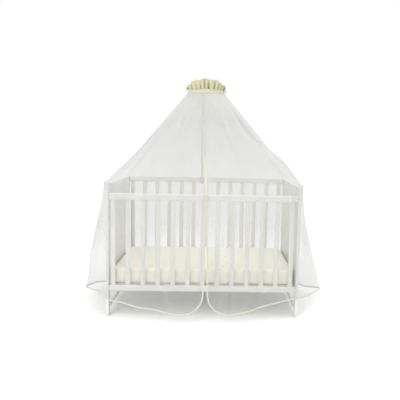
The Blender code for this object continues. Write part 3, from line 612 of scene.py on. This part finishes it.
def stitched_tape(name, light, dark):
    """Twill tape with a row of stitches along its side towards the net."""
    made, tree, out = material(name)
    place = cloth_place(tree)
    parts = node(tree, "SeparateXYZ", {0: place})
    slope = maths(tree, "ADD", parts.outputs["X"], parts.outputs["Y"])
    ribs = maths(tree, "SINE", maths(tree, "MULTIPLY", slope, 2 * math.pi / TWILL_RIB))
    ribs = maths(tree, "MULTIPLY_ADD", ribs, 0.5, 0.5)
    beat = maths(tree, "FRACT", maths(tree, "MULTIPLY", parts.outputs["X"], 1 / STITCH_PITCH))
    from_middle = maths(tree, "ABSOLUTE", maths(tree, "SUBTRACT", beat, 0.5))
    dash = between(tree, from_middle, *STITCH_LENGTH, 1.0, 0.0)
    aside = maths(tree, "SUBTRACT", parts.outputs["Y"], STITCH_FROM_SEAM)
    in_line = between(tree, maths(tree, "ABSOLUTE", aside), *STITCH_WIDTH, 1.0, 0.0)
    stitch = maths(tree, "MULTIPLY", dash, in_line)
    tone = maths(tree, "ADD", maths(tree, "MULTIPLY", ribs, 0.4), noise(tree, place, 30.0, 3.0))
    colour = two_tones(tree, between(tree, tone, 0.3, 1.1), dark, light)
    height = maths(tree, "ADD", maths(tree, "MULTIPLY", ribs, 0.25), stitch)
    shader = node(
        tree,
        "BsdfPrincipled",
        {
            "Base Color": colour,
            "Roughness": between(tree, ribs, 0.0, 1.0, 0.62, 0.80),
            "Normal": bump(tree, height, 0.0004, 0.7),
            "Sheen Weight": 0.2,
        },
    )
    tree.links.new(shader.outputs[0], out.inputs["Surface"])
    return made


# ---------------------------------------------------------------- the net


def shoulder_half_sizes():
    return CRIB_LENGTH / 2 + SHOULDER_CLEARANCE, CRIB_DEPTH / 2 + SHOULDER_CLEARANCE


def shoulder_corners():
    """Where the rounded corners of the crib's top edge begin and end, as distances."""
    a, b = shoulder_half_sizes()
    arc = SHOULDER_ROUND * math.pi / 2
    straights = (a - SHOULDER_ROUND, 2 * (b - SHOULDER_ROUND), 2 * (a - SHOULDER_ROUND))
    first = straights[0]
    second = first + arc + straights[1]
    third = second + arc + straights[2]
    fourth = third + arc + straights[1]
    return [(start, start + arc) for start in (first, second, third, fourth)]


def shoulder_point(distance):
    """The net's place at the crib's top edge, clockwise from the front middle."""
    a, b = shoulder_half_sizes()
    centres = [(-1, -1), (-1, 1), (1, 1), (1, -1)]
    corners = shoulder_corners()
    x = y = None
    for k, ((start, end), (sx, sy)) in enumerate(zip(corners, centres)):
        if start <= distance <= end:
            turn = math.radians(270 - 90 * k) - (distance - start) / SHOULDER_ROUND
            x = sx * (a - SHOULDER_ROUND) + SHOULDER_ROUND * math.cos(turn)
            y = sy * (b - SHOULDER_ROUND) + SHOULDER_ROUND * math.sin(turn)
    if x is None:
        if distance < corners[0][0]:
            x, y = -distance, -b
        elif distance < corners[1][0]:
            x, y = -a, -(b - SHOULDER_ROUND) + distance - corners[0][1]
        elif distance < corners[2][0]:
            x, y = -(a - SHOULDER_ROUND) + distance - corners[1][1], b
        elif distance < corners[3][0]:
            x, y = a, (b - SHOULDER_ROUND) - (distance - corners[2][1])
        else:
            x, y = (a - SHOULDER_ROUND) - (distance - corners[3][1]), -b
    drop = END_HEIGHT - FRONT_RAIL_TOP
    from_corner = max(0.0, a - STEP_FROM_END - abs(x))
    step = float(ease(from_corner, 0.0, STEP_LENGTH)) if y < -b + 1e-6 else 0.0
    return x, y, END_HEIGHT + SHOULDER_CLEARANCE - drop * step


class NetLines:
    """The net's upright lines, evenly spaced along the hem."""

    def __init__(self, count):
        x, y, z, shoulder = (column(HEM, HEM_COLUMNS, name) for name in HEM_COLUMNS)
        chords = np.hypot(np.diff(x), np.diff(y))
        along = np.concatenate([[0.0], np.cumsum(chords)])
        self.width = along[-1]
        self.at = np.linspace(0.0, self.width, count)
        self.hem = np.stack([smooth_through(along, v, self.at) for v in (x, y, z)], axis=-1)
        distance = np.interp(self.at, along, shoulder)
        self.shoulder = np.array([shoulder_point(d) for d in distance])
        slit = math.asin(OPENING_AT_HOOP / CASING_LOW_RADIUS)
        edge = EDGE_TO_SLIT / CASING_LOW_RADIUS
        share = self.at / self.width
        angle = math.radians(270) + slit - edge - share * (2 * math.pi - 2 * edge)
        radius = CASING_LOW_RADIUS - CASING_THICKNESS
        self.top = on_hoop(angle, radius, TUCKED_IN - CASING_HEIGHT / 2)

    def place(self, at):
        """A distance from the slit's left edge, given from its right edge where below zero."""
        return at if at > 0 else self.width + at

    def shortened(self):
        """How much of each line the rounded front corners take off."""
        from_edge = np.minimum(self.at, self.width - self.at)
        inside = np.clip(CORNER_RADIUS - from_edge, 0.0, CORNER_RADIUS)
        return CORNER_RADIUS - np.sqrt(CORNER_RADIUS**2 - inside**2)


def grid_normals(grid):
    """Unit normals of a grid of points, pointing away from the crib."""
    normal = np.cross(np.gradient(grid, axis=1), np.gradient(grid, axis=0))
    normal /= np.linalg.norm(normal, axis=2, keepdims=True)
    outward = grid - np.array([0.0, 0.0, 0.5])
    return normal * np.sign(np.sum(normal * outward, axis=2, keepdims=True))


def soft_hump(away):
    """1 in the middle, falling smoothly to 0 where away reaches 1."""
    return np.cos(np.clip(away, 0.0, 1.0) * math.pi / 2) ** 2


def main_folds(lines, t):
    """How far the main folds push each point of the net outward."""
    depth = np.zeros((len(lines.at), len(t)))
    in_roof = np.where(t < 1.0, np.sin(math.pi * np.clip(t, 0, 1)) ** 2, 0.0)
    in_skirt = np.clip(t - 1.0, 0.0, 1.0) ** 0.9
    for fold in named_rows(FOLDS, FOLD_COLUMNS):
        shape = soft_hump(np.abs(lines.at - lines.place(fold.at)) / fold.half_width)
        depth += np.outer(shape, fold.depth_at_hem * in_skirt + fold.depth_in_roof * in_roof)
    for bulge in named_rows(BULGES, BULGE_COLUMNS):
        across = np.abs(lines.at - lines.place(bulge.at)) / bulge.half_width
        up = np.abs(t - bulge.height) / bulge.reach
        depth += bulge.depth * np.outer(soft_hump(across), soft_hump(up))
    return depth


def uneven_waves(share, count, seed):
    """Waves from 0 to 1 along the cloth, each of its own width and height."""
    draw = np.random.default_rng(seed)
    widths = draw.uniform(*WAVE_WIDTHS, count)
    ends = np.concatenate([[0.0], np.cumsum(widths)]) / widths.sum()
    phase = np.interp(share, ends, np.arange(count + 1))
    height = np.interp(phase, np.arange(count + 1), draw.uniform(*WAVE_HEIGHTS, count + 1))
    return height * (0.5 - 0.5 * np.cos(2 * math.pi * phase))


def fine_folds(lines, t):
    """How far the gathers and small folds push each point outward."""
    share = lines.at / lines.width
    depth = np.zeros((len(lines.at), len(t)))
    for fold in named_rows(FINE_FOLDS, FINE_FOLD_COLUMNS):
        grown = ease(t, fold.grows_from, fold.full_at)
        envelope = grown * (1 - ease(t, fold.fades_from, fold.gone_at))
        wave = uneven_waves(share, fold.count, fold.seed)
        depth += fold.depth * wave[:, None] * envelope[None, :]
    return depth


def creases(lines, t):
    """How far the listed creases push each point outward, and the cover that they add."""
    down = t * NET_LENGTH / 2
    depth = np.zeros((len(lines.at), len(t)))
    added = np.zeros_like(depth)
    s = np.linspace(0, 1, CREASE_STEPS)
    for crease in named_rows(CREASES, CREASE_COLUMNS):
        half_width = crease.half_width
        ats = (crease.from_at, crease.through_at, crease.to_at)
        ats = [lines.place(at) for at in ats]
        heights = (crease.from_height, crease.through_height, crease.to_height)
        heights = [height * NET_LENGTH / 2 for height in heights]
        path_at, path_down = (
            (1 - s) ** 2 * first + (1 - s) * s * (4 * middle - first - last) + s * s * last
            for first, middle, last in (ats, heights)
        )
        near = np.abs(lines.at - np.mean(ats)) < np.ptp(ats) + 4 * half_width
        away = np.hypot(
            lines.at[near, None, None] - path_at, down[None, :, None] - path_down
        )
        nearest = away.argmin(axis=2)
        along = np.clip(nearest / (CREASE_STEPS - 1), CREASE_ENDS, 1 - CREASE_ENDS)
        taper = np.sin(math.pi * along) ** CREASE_TAPER
        shape = np.exp(-((away.min(axis=2) / half_width) ** 2)) * taper
        depth[near] += crease.depth * shape
        added[near] += crease.cover * shape
    return depth, added


def net_surface():
    """The net's lines, rows' heights, points (line, row), their shades and flat place."""
    lines = NetLines(NET_LINES)
    t = np.concatenate(
        [np.linspace(0.0, 1.0, ROOF_ROWS + 1)[:-1], np.linspace(1.0, 2.0, SKIRT_ROWS + 1)]
    )
    reach = np.linalg.norm(lines.hem - lines.shoulder, axis=1)
    kept = 1.0 - lines.shortened() / reach
    rows = []
    for value in t:
        if value <= 1.0:
            sag = ROOF_SAG * 4 * value * (1 - value)
            point = lines.top + (lines.shoulder - lines.top) * value
            point = point * [[1 - sag, 1 - sag, 1.0]]
        else:
            point = lines.shoulder + (lines.hem - lines.shoulder) * ((value - 1) * kept)[:, None]
        rows.append(point)
    base = np.stack(rows, axis=1)
    folded = base + grid_normals(base) * main_folds(lines, t)[..., None]
    fine = fine_folds(lines, t)
    pressed, doubled = creases(lines, t)
    grid = folded + grid_normals(folded) * (fine + pressed)[..., None]

    down = np.linalg.norm(np.diff(base, axis=1), axis=2)
    down = np.concatenate([np.zeros((len(lines.at), 1)), np.cumsum(down, axis=1)], axis=1)
    flat_width = NET_TOP_WIDTH + (lines.width - NET_TOP_WIDTH) * np.clip(down / NET_LENGTH, 0, 1)
    step = np.linalg.norm(np.gradient(folded, axis=0), axis=2)
    spacing = lines.width / (NET_LINES - 1)
    gathered = flat_width / lines.width * spacing / np.maximum(step, 1e-5)
    slope = np.gradient(fine, axis=0) / np.maximum(step, 1e-5)
    layers = np.maximum(gathered, 1.0) * (1 + slope**2) ** SLOPE_COVER
    cover = 1 - (1 - THREAD_COVER) ** layers + doubled
    across = (lines.at / lines.width)[:, None] * flat_width
    cloth = np.stack([across, down], axis=-1)
    # painted highlight: how far the net is paled along each crease, by the cover its doubled cloth
    # adds
    crease = np.clip(doubled * CREASE_HIGHLIGHT_SHARE, 0.0, 1.0)
    return lines, t, grid, {"cover": cover, "crease": crease}, cloth


def net(grid, shades, cloth, look):
    made = object_from("tulle_net", grid, grid_faces(*grid.shape[:2]), cloth, shades)
    made.data.materials.append(look)
    return made


def edge_tape(grid, normals, heights, look):
    """The folded tape sewn on down one side of the slit, round the hem and up again."""
    path = np.concatenate([grid[0, :-1], grid[:, -1], grid[-1, -2::-1]])
    out = np.concatenate([normals[0, :-1], normals[:, -1], normals[-1, -2::-1]])
    height = np.concatenate([heights[:-1], np.full(len(grid), heights[-1]), heights[-2::-1]])
    for end, beside in ((0, 1), (-1, -2)):
        down = path[beside] - path[end]
        path[end] += down / np.linalg.norm(down) * TAPE_BELOW_CASING
    along = np.gradient(path, axis=0)
    along /= np.linalg.norm(along, axis=1, keepdims=True)
    away = np.cross(along, out)
    away /= np.linalg.norm(away, axis=1, keepdims=True)
    if away[len(away) // 2, 2] > 0:
        away = -away
    turn = (TAPE_TURNED_IN * (1 - ease(height, TAPE_TURNS_FROM, TAPE_FLAT_FROM)))[:, None]
    path = path + away * (TAPE_THICKNESS / 2 + GAP) * np.sin(turn)
    across = away * np.cos(turn) - out * np.sin(turn)
    face = out * np.cos(turn) + away * np.sin(turn)
    far, thick = TAPE_WIDTH + GAP, TAPE_FINE / 2
    # its outer face: flat on the net, a little swollen in the middle, rounded at the free edge
    upper = [
        (-TAPE_OVERLAP, thick),
        (far * 0.33, thick * 1.15),
        (far * 0.8, thick * 1.1),
        (far - thick * 0.5, thick * 0.7),
    ]
    section = upper + [(far, 0.0)] + [(a, -b) for a, b in upper[::-1]]
    rings = np.stack([path + across * a + face * b for a, b in section], axis=1)
    length = np.concatenate([[0.0], np.cumsum(np.linalg.norm(np.diff(path, axis=0), axis=1))])
    wide = np.array([a for a, _ in section])
    cloth = np.stack(np.broadcast_arrays(length[:, None], wide[None, :]), axis=-1)
    count, size = rings.shape[:2]
    faces = [list(f) for f in grid_faces(count, size, wrap_rows=True)]
    faces += [list(range(size))[::-1], list(range((count - 1) * size, count * size))]
    made = object_from("edge_tape", rings, faces, cloth)
    turn_faces_out(made)
    made.data.materials.append(look)
    return made, length[-1]


# ---------------------------------------------------------------- casing and frill


def casing(look):
    """The band round the hoop, puckered a little where the net is gathered into it."""
    angle = np.linspace(0, 2 * math.pi, BAND_LINES, endpoint=False)
    share = np.linspace(0, 1, BAND_ROWS)
    half = CASING_HEIGHT / 2
    pucker = uneven_waves(angle / (2 * math.pi), GATHERS, GATHERS_SEED)
    outer, inner = [], []
    for s in share:
        radius = CASING_LOW_RADIUS + (CASING_TOP_RADIUS - CASING_LOW_RADIUS) * s
        swell = BAND_SWELL * math.sin(math.pi * s) ** 0.7
        deep = PUCKER * (PUCKER_BELOW + (1 - PUCKER_BELOW) * s * s) * pucker
        height = -half + CASING_HEIGHT * s + BAND_LIFT * (1 - s) ** 2 * (1 - pucker)
        inside = radius - CASING_THICKNESS * BAND_INSIDE + deep / 2
        outer.append(on_hoop(angle, radius + swell + deep, height))
        inner.append(on_hoop(angle, inside, height))
    rings = np.stack(outer + inner[::-1], axis=1)
    upwards = np.concatenate([share, share[::-1]])
    # painted shade between the band's gathers, growing towards its top edge
    painted_valley_shade = BAND_VALLEY_SHADE * (1 - pucker)[:, None] ** 3 * upwards[None, :]
    across, up = angle[:, None] * CASING_LOW_RADIUS, upwards[None, :] * CASING_HEIGHT
    cloth = np.stack(np.broadcast_arrays(across, up), axis=-1)
    faces = grid_faces(BAND_LINES, 2 * BAND_ROWS, True, True)
    # paler towards the lower edge: partly the net's gathers over it, partly painted light
    pale_and_painted_light = 1 - ease(upwards, 0.0, BAND_PALE_AND_LIT_BELOW)
    pale_and_painted_light = np.broadcast_to(pale_and_painted_light, (BAND_LINES, 2 * BAND_ROWS))
    made = object_from("casing_cloth", rings, faces, cloth, {"painted_valley_shade": painted_valley_shade, "pale_and_painted_light": pale_and_painted_light})
    turn_faces_out(made)
    made.data.materials.append(look)
    return made


def frill_middle(turn, t):
    """Radius and height of the collar's middle line, and the painted shade that place gets by how
    deep in a fold it lies.
    """
    angles = column(FRILL, FRILL_COLUMNS, "angle")
    lean, rise, arch, depth = (
        smooth_through(angles, column(FRILL, FRILL_COLUMNS, name), turn)
        for name in FRILL_COLUMNS[1:]
    )
    bulge = 4 * t * (1 - t)
    round_it = np.radians(turn)
    uneven = PLEAT_SHARE + slow_waves(PLEAT_DEPTH_WAVES, round_it)
    phase = FRILL_PLEATS * round_it + slow_waves(PLEAT_WIDTH_WAVES, round_it)
    wave = np.sin(phase + PLEAT_SWAY * t * np.sin(round_it * PLEAT_SWAY_COUNT))
    pleat = wave * (1 + PLEAT_FLAT - PLEAT_FLAT * wave**2)
    pleat = pleat + PLEAT_SKEW * np.sin(2 * phase + PLEAT_SKEW_PHASE)
    uneven_valley_shade = VALLEY_SHADE_MEAN + slow_waves(VALLEY_SHADE_WAVES, round_it)
    low = 1 - VALLEY_SHADE_LOST * ease(t, 0.10, 0.80)
    # painted shade, deepest at a valley's bottom, fading towards the lip and towards the frill's
    # sides
    painted_valley_shade = ease(-pleat, VALLEY_SHADE_FROM, VALLEY_SHADE_FULL) * low * depth**4 * uneven_valley_shade
    small = RIPPLE * t * np.sin(phase * 3 + round_it * 2)
    opening = ROOT_TUCK + (1 - ROOT_TUCK) * ease(t, 0.0, ROOT_OPENS_BY)
    deep = PLEAT_AT_ROOT * opening + (PLEAT_AT_LIP - PLEAT_AT_ROOT) * t
    lip = t * (slow_waves(LIP_WAVES, round_it) + LIP_RIPPLE * np.sin(phase + LIP_RIPPLE_PHASE))
    radius = CASING_TOP_RADIUS - CASING_THICKNESS / 2 + lean * t
    radius = radius + deep * depth * uneven * pleat + small
    height = CASING_HEIGHT / 2 + GAP + rise * t + arch * bulge + lip
    return radius, height, VALLEY_SHADE_SHARE * painted_valley_shade


def frill(look):
    """The gathered collar above the casing, flared in pleats and drooping at its sides."""
    count = FRILL_PLEATS * FRILL_STEPS
    angle = np.linspace(0, 2 * math.pi, count, endpoint=False)
    turn = np.degrees(angle + math.pi / 2) % 360
    share = np.linspace(0, 1, FRILL_ROWS)
    radius, height, painted_valley_shade = frill_middle(turn[:, None], share[None, :])
    grid = on_hoop(angle[:, None], radius, height)
    around = np.roll(grid, -1, axis=0) - np.roll(grid, 1, axis=0)
    normal = np.cross(around, np.gradient(grid, axis=1))
    normal /= np.linalg.norm(normal, axis=2, keepdims=True)
    half = FRILL_THICKNESS / 2
    rings = np.concatenate([grid + normal * half, (grid - normal * half)[:, ::-1]], axis=1)
    step = np.linalg.norm(around, axis=2)[:, FRILL_ROWS // 2] / 2
    across = np.concatenate([[0.0], np.cumsum(step)[:-1]])
    down = np.concatenate([share, share[::-1]]) * FRILL_LENGTH
    cloth = np.stack(np.broadcast_arrays(across[:, None], down[None, :]), axis=-1)
    # the painted shade in the valleys, on both faces of the frill
    deep = np.concatenate([painted_valley_shade, painted_valley_shade[:, ::-1]], axis=1)
    faces = grid_faces(count, 2 * FRILL_ROWS, True, True)
    made = object_from("frill_cloth", rings, faces, cloth, {"painted_valley_shade": deep})
    turn_faces_out(made)
    made.data.materials.append(look)
    return made, float(step.sum())


# ---------------------------------------------------------------- mattress


def mattress(look):
    """A foam mattress in its cover: a low crown and round edges."""
    low, high = (np.array(corner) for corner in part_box("mattress"))
    middle, half = (low + high) / 2, (high - low) / 2
    shape = bmesh.new()
    bmesh.ops.create_cube(shape, size=2.0)
    bmesh.ops.subdivide_edges(shape, edges=shape.edges[:], cuts=PAD_CUTS, use_grid_fill=True)
    for v in shape.verts:
        p = np.array(v.co)
        p = np.sign(p) * (1 - (1 - np.abs(p)) ** PAD_CROWDING)
        q = p * half
        core = np.clip(q, -(half - PAD_ROUND), half - PAD_ROUND)
        off = q - core
        length = np.linalg.norm(off)
        if length > 1e-9:
            q = core + off / length * PAD_ROUND
        if q[2] > 0:
            inside = (1 - (q[0] / half[0]) ** 4) * (1 - (q[1] / half[1]) ** 4)
            q[2] += PAD_CROWN * inside
        v.co = q + middle
    mesh = bpy.data.meshes.new("mattress_cover")
    shape.normal_update()
    shape.to_mesh(mesh)
    shape.free()
    mesh.shade_smooth()
    place = mesh.attributes.new("cloth", "FLOAT_VECTOR", "POINT")
    points = np.array([v.co for v in mesh.vertices])
    flat = np.stack([points[:, 0], points[:, 1] + points[:, 2], points[:, 2] * 0], axis=-1)
    place.data.foreach_set("vector", flat.astype(np.float32).ravel())
    made = bpy.data.objects.new("mattress_cover", mesh)
    bpy.context.scene.collection.objects.link(made)
    made.data.materials.append(look)
    return made


# ---------------------------------------------------------------- studio


def camera():
    yaw, pitch, roll = map(math.radians, (CAMERA_YAW, CAMERA_PITCH, CAMERA_ROLL))
    cy, sy, cp, sp = math.cos(yaw), math.sin(yaw), math.cos(pitch), math.sin(pitch)
    cr, sr = math.cos(roll), math.sin(roll)
    turn = np.array([[cy, -sy, 0], [sy, cy, 0], [0, 0, 1]])
    nod = np.array([[1, 0, 0], [0, cp, -sp], [0, sp, cp]])
    lean = np.array([[cr, 0, sr], [0, 1, 0], [-sr, 0, cr]])
    axes = turn @ nod @ lean
    data = bpy.data.cameras.new("camera")
    data.sensor_width = SENSOR
    data.lens = FOCAL_PIXELS / PICTURE * SENSOR
    data.shift_x = (PICTURE / 2 - PRINCIPAL_POINT[0]) / PICTURE
    data.shift_y = (PRINCIPAL_POINT[1] - PICTURE / 2) / PICTURE
    made = bpy.data.objects.new("camera", data)
    bpy.context.scene.collection.objects.link(made)
    columns = (axes[:, 0], axes[:, 2], -axes[:, 1])
    for k, direction in enumerate(columns):
        for row in range(3):
            made.matrix_world[row][k] = direction[row]
    made.location = CAMERA_AT
    bpy.context.scene.camera = made


def area_light(light):
    data = bpy.data.lights.new(light.name, "AREA")
    data.shape = "RECTANGLE"
    data.size, data.size_y = light.size
    data.energy = light.power
    made = bpy.data.objects.new(light.name, data)
    made.location = light.place
    towards_aim = Vector(light.aim) - Vector(light.place)
    made.rotation_euler = towards_aim.to_track_quat("-Z", "Y").to_euler()
    bpy.context.scene.collection.objects.link(made)


def paper_floor():
    """Pale paper that fades out, by its distance from the object, into the white behind."""
    made, tree, out = material("floor")
    place = object_place(tree)
    paper = noise(tree, place, 60.0, 3.0)
    tone = two_tones(tree, between(tree, paper, 0.3, 0.7), PAPER_DARK, PAPER_LIGHT)
    away = node(tree, "VectorMath", {0: place}, operation="LENGTH").outputs["Value"]
    fade = between(tree, away, FLOOR_FADES_FROM, FLOOR_RADIUS)
    diffuse = node(tree, "BsdfDiffuse", {"Color": tone})
    clear = node(tree, "BsdfTransparent")
    both = node(tree, "MixShader", {0: fade, 1: diffuse.outputs[0], 2: clear.outputs[0]})
    tree.links.new(both.outputs[0], out.inputs["Surface"])
    return made


def studio():
    turns = np.linspace(0, 2 * math.pi, FLOOR_SIDES, endpoint=False)
    rim = np.stack([np.cos(turns), np.sin(turns), turns * 0], axis=-1) * FLOOR_RADIUS
    floor = object_from("floor", rim, [range(len(rim))])
    floor.data.materials.append(paper_floor())
    world = bpy.data.worlds.new("studio")
    world.use_nodes = True
    backdrop = world.node_tree.nodes["Background"]
    backdrop.inputs["Color"].default_value = (1.0, 1.0, 1.0, 1.0)
    backdrop.inputs["Strength"].default_value = 1.0
    bpy.context.scene.world = world
    bpy.context.scene.view_settings.view_transform = "Standard"
    for light in named_rows(LIGHTS, LIGHT_COLUMNS):
        area_light(light)


# ---------------------------------------------------------------- the whole


def main():
    paint, metal = white_paint(), grey_metal()
    cream = cotton("cream_cotton", COTTON_LIGHT, COTTON_DARK, COTTON_PITCH, COTTON_WRINKLE)
    cover_look = cotton("mattress_cover", COVER_LIGHT, COVER_DARK, COVER_PITCH, COVER_WRINKLE)
    tape_look = stitched_tape("cream_tape", TAPE_LIGHT, TAPE_DARK)

    soft_nodes = {"net", "edge_binding", "casing_band", "frill", "mattress"}
    steel = {"hoop", "pole", "clamp"}
    for name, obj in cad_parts.items():
        if name in soft_nodes:
            continue
        look = metal if name in steel else paint
        obj.data.materials.clear()
        obj.data.materials.append(look)

    lines, heights, grid, shades, cloth = net_surface()
    net_piece = net(grid, shades, cloth, tulle())
    tape, tape_length = edge_tape(grid, grid_normals(grid), heights, tape_look)
    band = casing(cream)
    collar, collar_length = frill(cream)
    pad = mattress(cover_look)

    for piece, node_name, slot in (
        (net_piece, "net", "tulle"),
        (tape, "edge_binding", "cream_tape"),
        (band, "casing_band", "cream_cotton"),
        (collar, "frill", "cream_cotton"),
        (pad, "mattress", "mattress_cover"),
    ):
        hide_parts(node_name)
        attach(piece, "root")

    camera()
    studio()


main()
